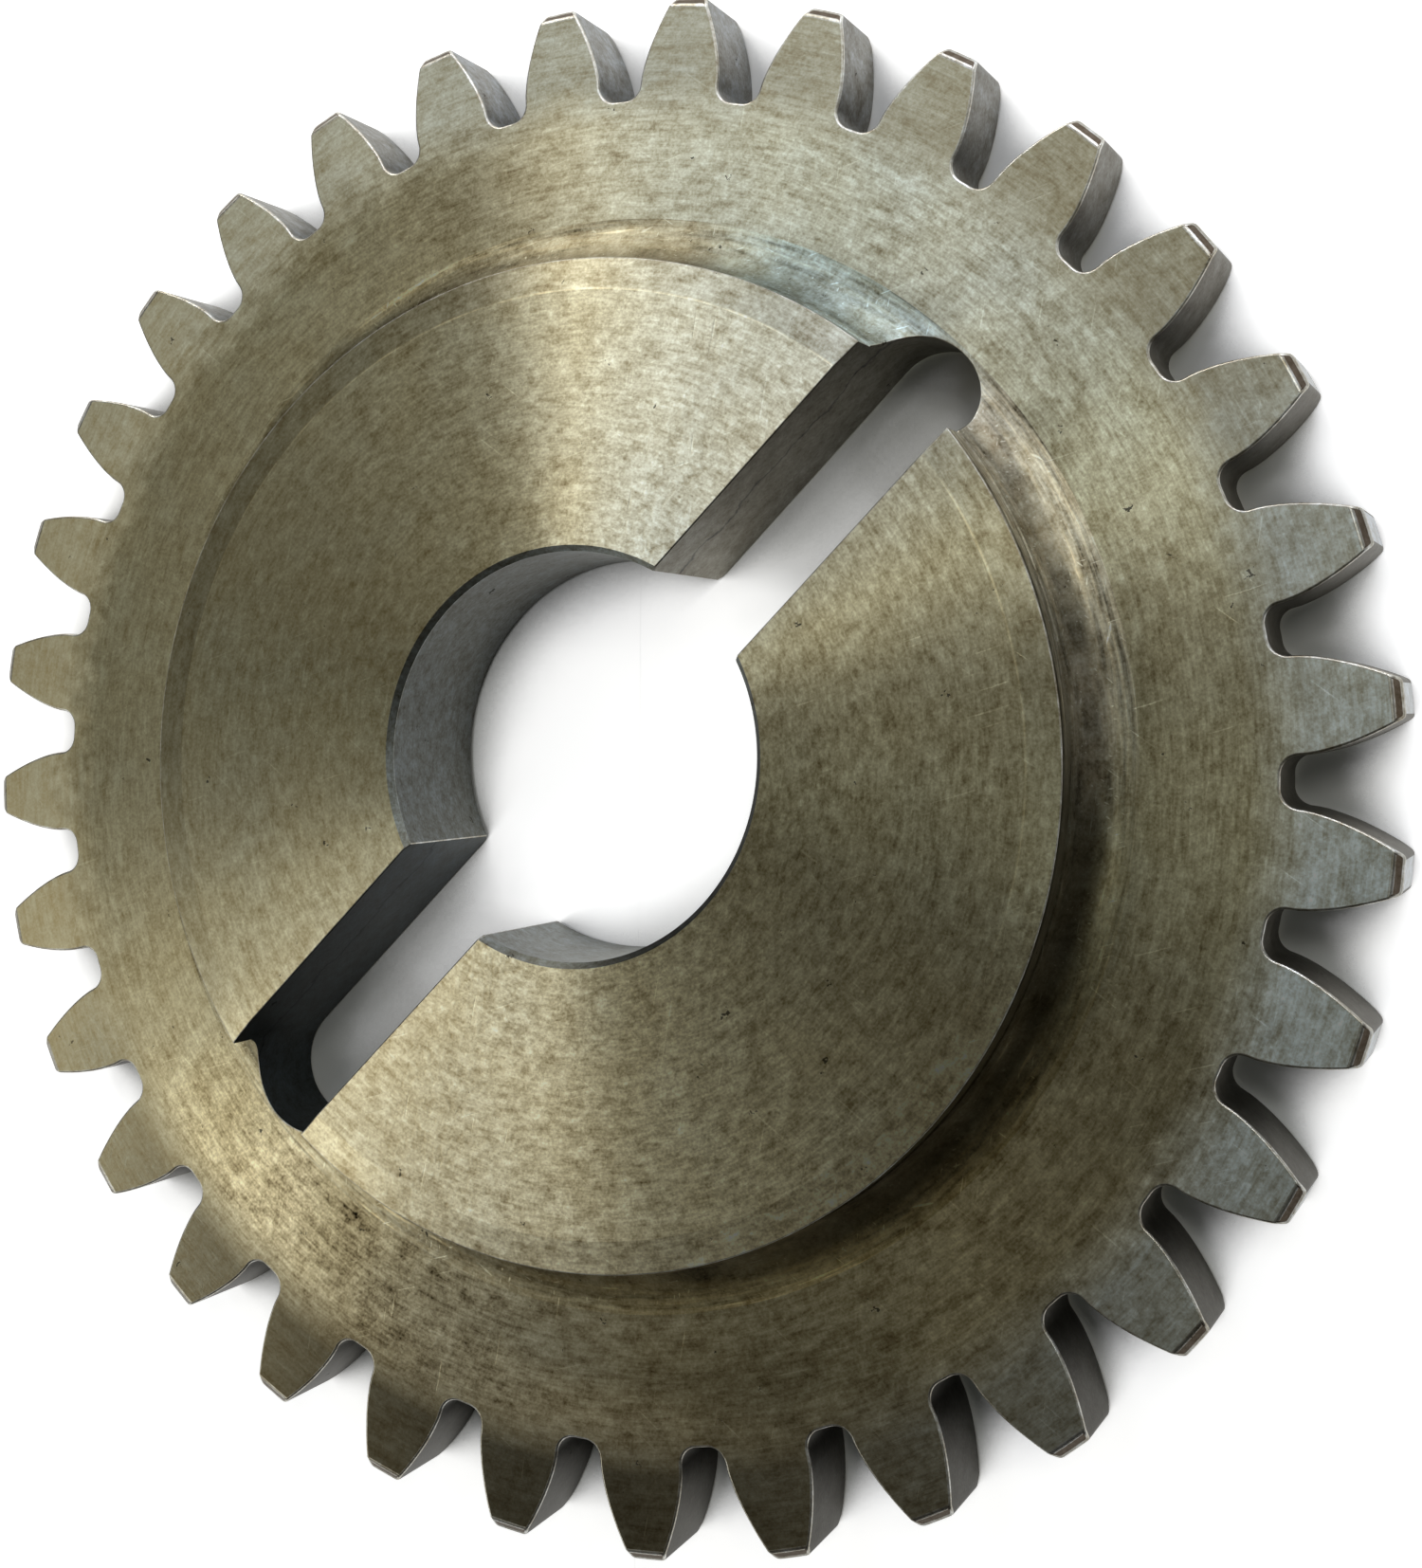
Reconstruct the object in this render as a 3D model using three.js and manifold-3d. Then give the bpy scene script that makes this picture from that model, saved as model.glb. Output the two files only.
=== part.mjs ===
// A 32-tooth steel spur gear in one piece: toothed web, raised hub, bore and a through drive slot.
// Millimetres. +Z runs along the gear's axis, from the back face at z = 0 to the hub's face.
// The slot runs along X.
import * as THREE from 'three';
import { mergeVertices } from 'three/addons/utils/BufferGeometryUtils.js';
import Module from 'manifold-3d';

const wasm = await Module();
wasm.setup();

// ---- Driving dimensions ----

// Teeth: full-depth involute
const MODULE = 2;
const TEETH = 32;
const PRESSURE_ANGLE = THREE.MathUtils.degToRad(20);
const DEDENDUM = 1.35 * MODULE;
const ROOT_FILLET = 0.38 * MODULE;
const TOOTH_PHASE = THREE.MathUtils.degToRad(4.2); // from the slot's direction to the nearest tooth's centre
const TOOTH_END_CHAMFER = 0.4;

// Web and hub
const WEB_THICKNESS = 4;
const HUB_HEIGHT = 3.2; // above the web's front face
const HUB_RADIUS = 21.55;
const HUB_RING_RADIUS = 20.15; // where the hub's face starts to fall away towards its rim
const HUB_RIM_DROP = 0.2;

// Cove between the hub's wall and the web
const COVE_HEIGHT = 1.6;
const COVE_RADIUS = 2.4;

// Bore and slot
const BORE_RADIUS = 8.75;
const BORE_CHAMFER = 0.25;
const SLOT_WIDTH = 5.3;
const SLOT_LENGTH = 47.4;

// Facets
const TURNED_SEGMENTS = 96;
const FLANK_STEPS = 5;
const FILLET_STEPS = 3;
const COVE_STEPS = 4;
const SLOT_END_SEGMENTS = 10;

// Room for a cutter to pass the surface that it cuts
const CLEARANCE = 1;

// ---- Dimensions that follow ----

const PITCH_RADIUS = MODULE * TEETH / 2;
const TIP_RADIUS = PITCH_RADIUS + MODULE;
const ROOT_RADIUS = PITCH_RADIUS - DEDENDUM;
const BASE_RADIUS = PITCH_RADIUS * Math.cos(PRESSURE_ANGLE);
const TOOTH_STEP = 2 * Math.PI / TEETH;
const TOTAL_THICKNESS = WEB_THICKNESS + HUB_HEIGHT;

// ---- Teeth ----

function involute(angle) {
  return Math.tan(angle) - angle;
}

// Half of the angle that a tooth fills at a radius
function halfToothAngle(radius) {
  const roll = Math.acos(Math.min(1, BASE_RADIUS / radius));
  return TOOTH_STEP / 4 + involute(PRESSURE_ANGLE) - involute(roll);
}

function polar(radius, angle) {
  return new THREE.Vector2(radius * Math.cos(angle), radius * Math.sin(angle));
}

// One flank from its root fillet up to the tip. The tooth's centre is at angle 0 and side is 1 or -1.
function flankPoints(side) {
  const points = [];
  const filletDistance = ROOT_RADIUS + ROOT_FILLET;
  const filletAngle = Math.asin(ROOT_FILLET / filletDistance);
  const centreAngle = halfToothAngle(BASE_RADIUS) + filletAngle;
  const filletCentre = polar(filletDistance, side * centreAngle);
  for (let i = 0; i <= FILLET_STEPS; i++) {
    const turn = (Math.PI / 2 - filletAngle) * i / FILLET_STEPS;
    const direction = Math.PI + side * (centreAngle + turn);
    points.push(polar(ROOT_FILLET, direction).add(filletCentre));
  }
  for (let i = 0; i <= FLANK_STEPS; i++) {
    const radius = THREE.MathUtils.lerp(BASE_RADIUS, TIP_RADIUS, i / FLANK_STEPS);
    points.push(polar(radius, side * halfToothAngle(radius)));
  }
  return points;
}

function toothedOutline() {
  const tooth = [...flankPoints(-1), ...flankPoints(1).reverse()];
  const outline = [];
  for (let i = 0; i < TEETH; i++) {
    const turn = TOOTH_PHASE + i * TOOTH_STEP;
    for (const point of tooth) {
      outline.push(point.clone().rotateAround(new THREE.Vector2(), turn));
    }
  }
  return new THREE.Shape(outline);
}

// ---- Turned blank ----

// The blank's section as (radius, z), once round, starting at the back of the bore
function blankSection() {
  const chamferFoot = TIP_RADIUS - TOOTH_END_CHAMFER;
  const chamferRun = TOOTH_END_CHAMFER + CLEARANCE;
  const coveCentreZ = WEB_THICKNESS + COVE_RADIUS;
  const coveTop = Math.acos((COVE_RADIUS - COVE_HEIGHT) / COVE_RADIUS);
  const coveCentreRadius = HUB_RADIUS + COVE_RADIUS * Math.sin(coveTop);
  const section = [
    [BORE_RADIUS + BORE_CHAMFER, 0],
    [chamferFoot, 0],
    [chamferFoot + chamferRun, chamferRun],
    [chamferFoot + chamferRun, WEB_THICKNESS - chamferRun],
    [chamferFoot, WEB_THICKNESS],
  ];
  for (let i = 0; i <= COVE_STEPS; i++) {
    const turn = coveTop * i / COVE_STEPS;
    section.push([
      coveCentreRadius - COVE_RADIUS * Math.sin(turn),
      coveCentreZ - COVE_RADIUS * Math.cos(turn),
    ]);
  }
  section.push(
    [HUB_RADIUS, TOTAL_THICKNESS - HUB_RIM_DROP],
    [HUB_RING_RADIUS, TOTAL_THICKNESS],
    [BORE_RADIUS + BORE_CHAMFER, TOTAL_THICKNESS],
    [BORE_RADIUS, TOTAL_THICKNESS - BORE_CHAMFER],
    [BORE_RADIUS, BORE_CHAMFER],
    [BORE_RADIUS + BORE_CHAMFER, 0],
  );
  return section.map(([radius, z]) => new THREE.Vector2(radius, z));
}

// ---- Slot ----

function slotOutline() {
  const endRadius = SLOT_WIDTH / 2;
  const endCentre = SLOT_LENGTH / 2 - endRadius;
  const outline = new THREE.Shape();
  outline.absarc(endCentre, 0, endRadius, -Math.PI / 2, Math.PI / 2);
  outline.absarc(-endCentre, 0, endRadius, Math.PI / 2, Math.PI * 3 / 2);
  return outline;
}

// ---- From three.js geometry to solids and back ----

function toSolid(geometry) {
  const bare = new THREE.BufferGeometry();
  bare.setAttribute('position', geometry.getAttribute('position'));
  bare.setIndex(geometry.getIndex());
  const welded = mergeVertices(bare, 1e-5);
  const triangles = [];
  const index = welded.getIndex().array;
  for (let i = 0; i < index.length; i += 3) {
    const [a, b, c] = index.slice(i, i + 3);
    if (a !== b && b !== c && c !== a) {
      triangles.push(a, b, c);
    }
  }
  return new wasm.Manifold(new wasm.Mesh({
    numProp: 3,
    vertProperties: Float32Array.from(welded.getAttribute('position').array),
    triVerts: Uint32Array.from(triangles),
  }));
}

function toGeometry(solid) {
  const mesh = solid.getMesh();
  const geometry = new THREE.BufferGeometry();
  geometry.setAttribute('position', new THREE.BufferAttribute(mesh.vertProperties, 3));
  geometry.setIndex(new THREE.BufferAttribute(mesh.triVerts, 1));
  geometry.computeVertexNormals();
  return geometry;
}

// ---- The gear ----

function gearGeometry() {
  const teeth = new THREE.ExtrudeGeometry(toothedOutline(), {
    depth: TOTAL_THICKNESS + 2 * CLEARANCE,
    bevelEnabled: false,
  });
  teeth.translate(0, 0, -CLEARANCE);
  const blank = new THREE.LatheGeometry(blankSection(), TURNED_SEGMENTS);
  blank.rotateX(Math.PI / 2);
  const slot = new THREE.ExtrudeGeometry(slotOutline(), {
    depth: TOTAL_THICKNESS + 2 * CLEARANCE,
    bevelEnabled: false,
    curveSegments: SLOT_END_SEGMENTS,
  });
  slot.translate(0, 0, -CLEARANCE);
  return toGeometry(toSolid(blank).intersect(toSolid(teeth)).subtract(toSolid(slot)));
}

const gear = new THREE.Mesh(
  gearGeometry(),
  new THREE.MeshStandardMaterial({ color: 0x8c8876, roughness: 0.42, metalness: 1 }),
);
gear.name = 'spur_gear';

const group = new THREE.Group();
group.add(gear);

export default group;
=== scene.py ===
"""The looks of a one-piece steel spur gear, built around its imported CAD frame.

The gear's shape is worked out in millimetres, in the CAD frame: +Z out of the hub's face, +X along the slot.
An azimuth is a direction from the gear's axis, in degrees from +X towards +Y.
"""

import math

import bpy
import numpy as np
from mathutils import Matrix, Vector


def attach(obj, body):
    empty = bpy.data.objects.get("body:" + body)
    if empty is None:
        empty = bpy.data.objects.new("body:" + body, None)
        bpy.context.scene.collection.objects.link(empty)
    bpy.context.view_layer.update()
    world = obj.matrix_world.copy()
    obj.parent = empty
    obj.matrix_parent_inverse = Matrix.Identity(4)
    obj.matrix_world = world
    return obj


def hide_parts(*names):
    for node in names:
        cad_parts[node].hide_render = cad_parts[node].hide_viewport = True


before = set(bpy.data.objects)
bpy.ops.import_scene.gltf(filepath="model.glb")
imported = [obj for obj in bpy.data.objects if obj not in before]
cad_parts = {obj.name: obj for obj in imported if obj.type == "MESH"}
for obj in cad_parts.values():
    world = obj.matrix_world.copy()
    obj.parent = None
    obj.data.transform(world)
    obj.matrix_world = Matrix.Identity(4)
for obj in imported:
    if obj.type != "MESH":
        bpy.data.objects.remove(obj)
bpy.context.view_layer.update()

MM = 0.001
LEAN = math.sqrt(0.5)  # sine and cosine of 45 degrees
CLOSE = 1e-6  # lengths and angles this close together are the same

# ---- The gear's dimensions, as in the CAD part ----

MODULE = 2.0
TEETH = 32
PRESSURE_ANGLE = math.radians(20)
DEDENDUM = 1.35 * MODULE
ROOT_FILLET = 0.38 * MODULE
TOOTH_PHASE = math.radians(4.2)
TOOTH_END_CHAMFER = 0.4
WEB_THICKNESS = 4.0
TOTAL_THICKNESS = 7.2
HUB_RADIUS = 21.55
HUB_RING_RADIUS = 20.15
HUB_RIM_DROP = 0.2
COVE_HEIGHT = 1.6
COVE_RADIUS = 2.4
BORE_RADIUS = 8.75
BORE_CHAMFER = 0.25
SLOT_WIDTH = 5.3
SLOT_LENGTH = 47.4

# ---- Finer things that the CAD part leaves out ----

TOOTH_EDGE = 0.11  # rounding of the edges round the teeth
TIP_CORNER = 0.15  # rounding of the corner between flank and tip
TIP_ROUND = 0.25  # radius of the blend between the teeth's faces and the chamfer on their ends
SLOT_EDGE = 0.06  # rounding of the slot's edges
RIM_EDGE = 0.05  # rounding of the hub's rim
FOOT_STEP = 0.07  # width of the ledge that the turning tool left at the foot of the hub's wall
FOOT_RISE = 0.04  # height of that ledge
WORN_RADIUS = 29.3  # where the turning lines on the faces wear away

# ---- Dimensions that follow ----

PITCH_RADIUS = MODULE * TEETH / 2
TIP_RADIUS = PITCH_RADIUS + MODULE
ROOT_RADIUS = PITCH_RADIUS - DEDENDUM
BASE_RADIUS = PITCH_RADIUS * math.cos(PRESSURE_ANGLE)
TOOTH_STEP = 2 * math.pi / TEETH
TIP_ROUND_START = TIP_RADIUS - TOOTH_END_CHAMFER - TIP_ROUND * math.tan(math.pi / 8)
TIP_ROUND_RUN = TIP_ROUND * LEAN
SLOT_HALF = SLOT_WIDTH / 2
SLOT_END_CENTRE = SLOT_LENGTH / 2 - SLOT_HALF
SLOT_LIP = SLOT_HALF + SLOT_EDGE
SLOT_STRAIGHT_END = math.hypot(SLOT_END_CENTRE, SLOT_LIP)
SLOT_APEX = SLOT_END_CENTRE + SLOT_LIP
COVE_END = HUB_RADIUS + 2.3  # just short of the web

# ---- How finely the shape is cut ----

HALF_TURN_STEPS = 270
TIP_STEPS = 4
CORNER_STEPS = 3
FLANK_STEPS = 14
FILLET_STEPS = 8
ROOT_STEPS = 2
TIP_ROUND_STEPS = 3
COVE_STEPS = 12
SLOT_END_STEPS = 14
INNER_JOIN = 24.2  # the web's last ring with evenly spaced points
OUTER_JOIN = 28.8  # the web's first ring with the teeth's own points
LEAST_TURN = 2e-5  # least angle between neighbouring points of the toothed outline
ON_TIP = 0.01  # points this close to the tip circle belong to the tip
CROSSING_STEPS = 4  # refinements of the place where a line crosses a circle
LEAST_RING = 0.02  # least distance from the hub's rim or ledge to a ring that only the slot's end needs
WELD_GRID = 1e-4  # points in the same cell of this grid are welded
WELD_SHIFT = 0.3719  # moves the cells' borders off round numbers
SAME_DIGITS = 9  # radii that agree in this many decimal places are the same

# Material slots
FACE, COVE, FLANK, BORE, EDGE, CHAMFER, LAND, SLOT = range(8)

# The strips down a tooth's end, from the outer join to the flank
TOOTH_STRIPS = (FACE, EDGE, EDGE, EDGE, CHAMFER, EDGE, EDGE)


def in_scene(made):
    """Links a new object to the scene, and returns it."""
    bpy.context.scene.collection.objects.link(made)
    return made


class Skin:
    """Collects patches of faces, each corner with its own normal, and welds them into one mesh."""

    def __init__(self):
        self.points = []
        self.faces = []
        self.normals = []
        self.materials = []

    def add_point(self, point):
        self.points.append(point)
        return len(self.points) - 1

    def add_face(self, points, normals, material):
        self.faces.append([self.add_point(p) for p in points])
        self.normals.append(list(normals))
        self.materials.append(material)

    def add_grid(self, rows, normals, material):
        """rows[i][j] is a point and normals[i][j] its normal."""
        for i in range(len(rows) - 1):
            for j in range(len(rows[0]) - 1):
                self.add_face(
                    [rows[i][j], rows[i][j + 1], rows[i + 1][j + 1], rows[i + 1][j]],
                    [normals[i][j], normals[i][j + 1], normals[i + 1][j + 1], normals[i + 1][j]],
                    material,
                )

    def weld(self):
        """The welded points, the faces as lists of (point, normal), and the faces' materials."""
        points = np.array(self.points)
        keys = np.floor(points / WELD_GRID + WELD_SHIFT).astype(np.int64)
        _, first, index = np.unique(keys, axis=0, return_index=True, return_inverse=True)
        index = index.ravel()
        welded = points[first]
        faces, slots = [], []
        for face, corner_normals, slot in zip(self.faces, self.normals, self.materials):
            corners = []
            for corner, normal in zip(face, corner_normals):
                vertex = int(index[corner])
                if not corners or corners[-1][0] != vertex:
                    corners.append((vertex, normal))
            if len(corners) > 1 and corners[0][0] == corners[-1][0]:
                corners.pop()
            if len(corners) < 3:
                continue
            ring = welded[[c[0] for c in corners]]
            area = np.cross(ring, np.roll(ring, -1, axis=0)).sum(axis=0)
            if np.dot(area, np.sum([c[1] for c in corners], axis=0)) < 0:
                corners.reverse()  # so that the face turns the way its normals point
            faces.append(corners)
            slots.append(slot)
        return welded, faces, slots

    def to_object(self, name, materials):
        points, faces, slots = self.weld()
        mesh = bpy.data.meshes.new(name)
        mesh.from_pydata((points * MM).tolist(), [], [[c[0] for c in corners] for corners in faces])
        for material in materials:
            mesh.materials.append(material)
        mesh.polygons.foreach_set("material_index", slots)
        mesh.polygons.foreach_set("use_smooth", [True] * len(faces))
        normals = np.array([tuple(c[1]) for corners in faces for c in corners])
        normals /= np.linalg.norm(normals, axis=1, keepdims=True)
        mesh.normals_split_custom_set(normals.tolist())
        mesh.update()
        return in_scene(bpy.data.objects.new(name, mesh))


# ---- The toothed outline ----

def involute(angle):
    return math.tan(angle) - angle


def half_tooth_angle(radius):
    roll = math.acos(min(1.0, BASE_RADIUS / radius))
    return TOOTH_STEP / 4 + involute(PRESSURE_ANGLE) - involute(roll)


def polar(radius, angle):
    return np.array([radius * math.cos(angle), radius * math.sin(angle)])


def half_tooth():
    """From the middle of the tip to the middle of the root, on the side of positive angles."""
    points = []
    tip_angle = half_tooth_angle(TIP_RADIUS)
    arc_end = tip_angle - TIP_CORNER / TIP_RADIUS
    for i in range(TIP_STEPS):
        points.append(polar(TIP_RADIUS, arc_end * i / TIP_STEPS))
    flank_top = TIP_RADIUS - TIP_CORNER
    distance = ROOT_RADIUS + ROOT_FILLET
    flank_foot = math.sqrt(distance ** 2 - ROOT_FILLET ** 2)
    corner = polar(TIP_RADIUS, tip_angle)
    before = polar(TIP_RADIUS, arc_end)
    after = polar(flank_top, half_tooth_angle(flank_top))
    for i in range(CORNER_STEPS):
        t = i / CORNER_STEPS
        points.append((1 - t) ** 2 * before + 2 * t * (1 - t) * corner + t * t * after)
    for i in range(FLANK_STEPS + 1):
        radius = flank_top + (flank_foot - flank_top) * i / FLANK_STEPS
        points.append(polar(radius, half_tooth_angle(radius)))
    fillet_angle = math.asin(ROOT_FILLET / distance)
    centre_angle = half_tooth_angle(BASE_RADIUS) + fillet_angle
    centre = polar(distance, centre_angle)
    for i in range(1, FILLET_STEPS + 1):
        turn = (math.pi / 2 - fillet_angle) * (1 - i / FILLET_STEPS)
        points.append(centre + polar(ROOT_FILLET, math.pi + centre_angle + turn))
    for i in range(1, ROOT_STEPS + 1):
        points.append(polar(ROOT_RADIUS, centre_angle + (TOOTH_STEP / 2 - centre_angle) * i / ROOT_STEPS))
    return points


def toothed_outline():
    half = half_tooth()
    other = [p * np.array([1, -1]) for p in half[:0:-1]]
    tooth = np.array(other + half[:-1])
    loop = []
    for i in range(TEETH):
        turn = TOOTH_PHASE + i * TOOTH_STEP
        spin = np.array([[math.cos(turn), math.sin(turn)], [-math.sin(turn), math.cos(turn)]])
        loop.extend(tooth @ spin)
    return np.array(loop)


def outward(loop):
    """Unit normals of a closed anticlockwise loop: the mean of the two edges' normals at each point."""
    edge = np.roll(loop, -1, axis=0) - loop
    edge /= np.linalg.norm(edge, axis=1, keepdims=True)
    normal = np.stack([edge[:, 1], -edge[:, 0]], axis=1)
    normal += np.roll(normal, 1, axis=0)
    return normal / np.linalg.norm(normal, axis=1, keepdims=True)


# ---- Teeth ----

def tooth_face(radius):
    """Height of the teeth's front face at a radius, and its normal as (radial, z)."""
    across = radius - TIP_ROUND_START
    if across < CLOSE:
        return WEB_THICKNESS, (0.0, 1.0)
    if across < TIP_ROUND_RUN:
        up = math.sqrt(TIP_ROUND ** 2 - across ** 2)
        return WEB_THICKNESS - TIP_ROUND + up, (across / TIP_ROUND, up / TIP_ROUND)
    return WEB_THICKNESS - (radius - TIP_RADIUS + TOOTH_END_CHAMFER), (LEAN, LEAN)


def with_round_start(outer, normal):
    """Adds a column wherever the inset loop crosses the circle on which the tooth ends start to round."""
    inner = outer - normal * TOOTH_EDGE
    radius = np.linalg.norm(inner, axis=1)
    new_outer, new_normal = [], []
    count = len(outer)
    for i in range(count):
        k = (i + 1) % count
        new_outer.append(outer[i])
        new_normal.append(normal[i])
        low, high = radius[i] - TIP_ROUND_START, radius[k] - TIP_ROUND_START
        if low * high < 0:
            a, b = inner[i], inner[k]
            t = low / (low - high)
            for _ in range(CROSSING_STEPS):
                error = np.linalg.norm(a + (b - a) * t) - TIP_ROUND_START
                t -= error / (high - low)
            blend = normal[i] * (1 - t) + normal[k] * t
            point = a + (b - a) * t
            new_normal.append(blend / np.linalg.norm(blend))
            new_outer.append(point + new_normal[-1] * TOOTH_EDGE)
    return np.array(new_outer), np.array(new_normal)


def halved(a, b):
    """The unit vector half way between two."""
    return (a + b) / np.linalg.norm(a + b)


def add_teeth(skin):
    """Adds the teeth, both ends and the walls between, and returns the angles of their columns."""
    outline = toothed_outline()
    outer, normal = with_round_start(outline, outward(outline))
    inner = outer - normal * TOOTH_EDGE
    count = len(outer)
    radius = np.linalg.norm(inner, axis=1)
    angle = np.unwrap(np.arctan2(inner[:, 1], inner[:, 0]))
    for i in range(1, count):
        angle[i] = max(angle[i], angle[i - 1] + LEAST_TURN)
    inner = radius[:, None] * np.stack([np.cos(angle), np.sin(angle)], axis=1)
    middle = WEB_THICKNESS / 2

    def column(i, tip):
        """Points and normals down one column, from the outer join to the middle of the flank."""
        along = np.array([math.cos(angle[i]), math.sin(angle[i])])
        points, normals = [], []
        rounding = [TIP_ROUND_START + TIP_ROUND_RUN * j / TIP_ROUND_STEPS for j in range(TIP_ROUND_STEPS + 1)]
        for r in (OUTER_JOIN, *(min(radius[i], at) for at in rounding), radius[i]):
            z, (out, up) = tooth_face(r)
            if not tip:
                out, up = 0.0, 1.0
            points.append((*(along * r), z))
            normals.append((*(along * out), up))
        z = points[-1][2]
        side = np.array([*normal[i], 0.0])
        points.append((*(inner[i] + normal[i] * TOOTH_EDGE * LEAN), z - TOOTH_EDGE * (1 - LEAN)))
        normals.append(tuple(halved(np.array(normals[-1]), side)))
        points.append((*outer[i], z - TOOTH_EDGE))
        normals.append(tuple(side))
        return points, normals

    def put(points, normals, material, flip):
        """Adds a face at the front, or its mirror image at the back if flip is -1."""
        skin.add_face(
            [(x, y, middle + flip * (z - middle)) for x, y, z in points],
            [(x, y, flip * z) for x, y, z in normals],
            material,
        )

    for i in range(count):
        k = (i + 1) % count
        tip = min(radius[i], radius[k]) > TIP_ROUND_START - CLOSE
        a, a_normals = column(i, tip)
        b, b_normals = column(k, tip)
        for flip in (1, -1):
            for j, material in enumerate(TOOTH_STRIPS):
                corners = [a[j], b[j], b[j + 1], a[j + 1]]
                corner_normals = [a_normals[j], b_normals[j], b_normals[j + 1], a_normals[j + 1]]
                put(corners, corner_normals, material, flip)
        (ax, ay, az), (bx, by, bz) = a[-1], b[-1]
        on_tip = np.linalg.norm(outer[[i, k]], axis=1).min() > TIP_RADIUS - ON_TIP
        skin.add_face(
            [a[-1], b[-1], (bx, by, WEB_THICKNESS - bz), (ax, ay, WEB_THICKNESS - az)],
            [a_normals[-1], b_normals[-1], b_normals[-1], a_normals[-1]],
            LAND if on_tip else FLANK,
        )
    return angle


def add_web_join(skin, tooth_angles):
    """Fills the flat ring between the evenly spaced circle and the teeth's circle, front and back."""
    start = math.floor(tooth_angles[0] * HALF_TURN_STEPS / math.pi)
    even = [(start + k) * math.pi / HALF_TURN_STEPS for k in range(2 * HALF_TURN_STEPS + 1)]
    toothed = [*tooth_angles, tooth_angles[0] + 2 * math.pi]
    for z, up in ((WEB_THICKNESS, 1.0), (0.0, -1.0)):
        inner = [(*polar(INNER_JOIN, turn), z) for turn in even]
        outer = [(*polar(OUTER_JOIN, turn), z) for turn in toothed]
        i = j = 0
        while i < len(even) - 1 or j < len(toothed) - 1:
            near, far = inner[i], outer[j]
            if j >= len(toothed) - 1 or (i < len(even) - 1 and even[i + 1] <= toothed[j + 1]):
                i += 1
                third = inner[i]
            else:
                j += 1
                third = outer[j]
            skin.add_face([near, far, third], [(0.0, 0.0, up)] * 3, FACE)


# ---- Web, hub and bore ----

def slot_angle(radius):
    """Direction from the axis in which a circle of this radius meets the lip of the slot's +X, +Y quarter."""
    if radius <= SLOT_STRAIGHT_END:
        return math.asin(SLOT_LIP / radius)
    if radius >= SLOT_APEX:
        return 0.0
    cosine = (radius ** 2 + SLOT_END_CENTRE ** 2 - SLOT_LIP ** 2) / (2 * radius * SLOT_END_CENTRE)
    return math.acos(max(-1.0, min(1.0, cosine)))


def straight(start, end, normal, radii=()):
    """A straight stretch of the section, cut at the given radii: rows of (radius, z, normal)."""
    rows = [start]
    low, high = sorted((start[0], end[0]))
    inside = [r for r in radii if low + CLOSE < r < high - CLOSE]
    for r in sorted(inside, reverse=end[0] < start[0]):
        t = (r - start[0]) / (end[0] - start[0])
        rows.append((r, start[1] + (end[1] - start[1]) * t))
    rows.append(end)
    size = math.hypot(*normal)
    return [(r, z, normal[0] / size, normal[1] / size) for r, z in rows]


def slot_end_radii():
    """The radii of the points round the lip of the slot's end."""
    turns = [math.pi / 2 * i / SLOT_END_STEPS for i in range(SLOT_END_STEPS + 1)]
    return [math.hypot(SLOT_END_CENTRE + SLOT_LIP * math.cos(t), SLOT_LIP * math.sin(t)) for t in turns]


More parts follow.
